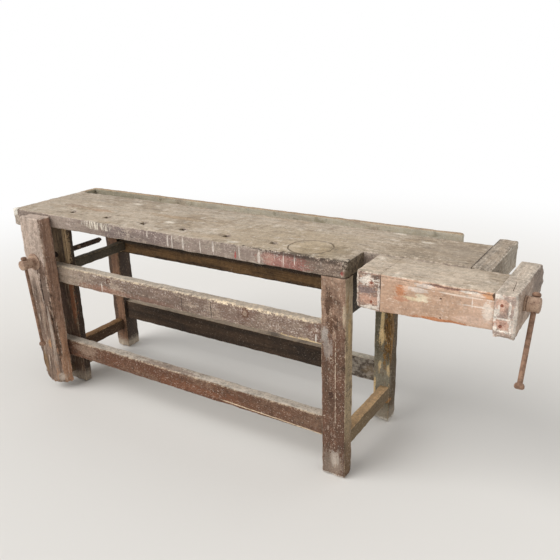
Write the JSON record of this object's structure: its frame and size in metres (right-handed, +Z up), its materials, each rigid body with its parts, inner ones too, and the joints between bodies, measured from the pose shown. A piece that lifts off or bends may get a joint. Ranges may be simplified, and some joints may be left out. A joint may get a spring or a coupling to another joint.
{
  "type": "woodworking bench",
  "caption": "Old joiner's bench: thick wooden top with square dog holes and a rear tool tray on a pegged leg frame, a leg vise at the left and a sliding tail vise at the right.",
  "frame": {"origin": "on the floor, under the middle of the bench's overall box with both vises as pictured", "axes": "+X along the bench towards the tail vise, +Y from the working front to the rear, +Z up"},
  "size_m": [2.1672, 0.6196, 0.8],
  "materials": {
    "top_wood": "grey weathered bare wood",
    "frame_wood": "worn red-brown stain with paint spots",
    "dark_wood": "dark aged stain",
    "rail_wood": "dry ochre-brown wood",
    "vise_wood": "worn pinkish hardwood with paint spots",
    "chop_wood": "worn grey-brown hardwood",
    "peg_wood": "dark hardwood pegs",
    "iron": "brown rust"
  },
  "bodies": {
    "bench": {"top_slab": "top_wood", "left_end_cap": "top_wood", "tray_floor": "rail_wood", "tray_back_board": "top_wood", "tray_left_end": "top_wood", "tray_right_end": "top_wood", "back_board_nail_1": "iron", "back_board_nail_2": "iron", "back_board_nail_3": "iron", "end_cap": "top_wood", "end_cap_peg_1": "peg_wood", "end_cap_peg_2": "peg_wood", "front_right_leg": "frame_wood", "front_left_leg": "frame_wood", "rear_right_leg": "dark_wood", "rear_left_leg": "dark_wood", "front_upper_stretcher": "frame_wood", "front_lower_stretcher": "frame_wood", "upper_stretcher_peg_1": "peg_wood", "upper_stretcher_peg_2": "peg_wood", "lower_stretcher_peg_1": "peg_wood", "lower_stretcher_peg_2": "peg_wood", "rear_upper_rail": "rail_wood", "rear_lower_rail": "dark_wood", "left_upper_side_rail": "rail_wood", "left_lower_side_rail": "rail_wood", "left_top_bearer": "dark_wood", "right_lower_side_rail": "rail_wood", "right_top_bearer": "dark_wood", "tail_guide_rail": "dark_wood", "guide_rail_screw_1": "iron", "guide_rail_screw_2": "iron", "leg_vise_nut": "iron", "tail_vise_nut": "iron"},
    "leg_chop": {"leg_vise_chop": "chop_wood", "leg_vise_guide_bar": "rail_wood", "guide_bar_peg": "peg_wood", "leg_vise_flange": "iron", "leg_vise_garter": "iron", "leg_vise_garter_screw_1": "iron", "leg_vise_garter_screw_2": "iron"},
    "leg_screw": {"leg_vise_screw": "iron"},
    "leg_handle": {"leg_vise_handle": "iron", "leg_vise_handle_knob": "iron"},
    "tail_vise": {"tail_vise_jaw_block": "vise_wood", "tail_vise_front_board": "vise_wood", "tail_vise_top_board": "top_wood", "tail_vise_end_block": "vise_wood", "tail_vise_runner": "rail_wood", "tail_jaw_peg_upper": "peg_wood", "tail_jaw_peg_lower": "peg_wood", "tail_block_peg_upper": "peg_wood", "tail_block_peg_lower": "peg_wood", "tail_vise_flange": "iron", "tail_vise_garter": "iron", "tail_vise_garter_screw_1": "iron", "tail_vise_garter_screw_2": "iron"},
    "tail_screw": {"tail_vise_screw": "iron"},
    "tail_handle": {"tail_vise_handle": "iron", "tail_vise_handle_knob": "iron"}
  },
  "joints": [
    {"name": "leg_vise_slide", "type": "slide", "parent": "bench", "child": "leg_chop", "axis": [0, -1, 0], "range_m": [0, 0.14]},
    {"name": "leg_vise_screw_turn", "type": "hinge", "parent": "leg_chop", "child": "leg_screw", "pos_m": [-0.8996, -0.25, 0.605], "axis": [0, -1, 0], "range_deg": [0, 5042]},
    {"name": "leg_vise_handle_slide", "type": "slide", "parent": "leg_screw", "child": "leg_handle", "axis": [-0.0785, 0, 0.9969], "range_m": [0, 0.322]},
    {"name": "tail_vise_slide", "type": "slide", "parent": "bench", "child": "tail_vise", "axis": [1, 0, 0], "range_m": [-0.052, 0.15]},
    {"name": "tail_vise_screw_turn", "type": "hinge", "parent": "tail_vise", "child": "tail_screw", "pos_m": [1.05, -0.1362, 0.75], "axis": [1, 0, 0], "range_deg": [-1874, 5402]},
    {"name": "tail_vise_handle_slide", "type": "slide", "parent": "tail_screw", "child": "tail_handle", "axis": [0, 0.4226, 0.9063], "range_m": [0, 0.19]}
  ],
  "couplings": [
    {"joint": "leg_vise_screw_turn", "follows": "leg_vise_slide", "rad_per_m": 628.32},
    {"joint": "tail_vise_screw_turn", "follows": "tail_vise_slide", "rad_per_m": 628.32}
  ]
}
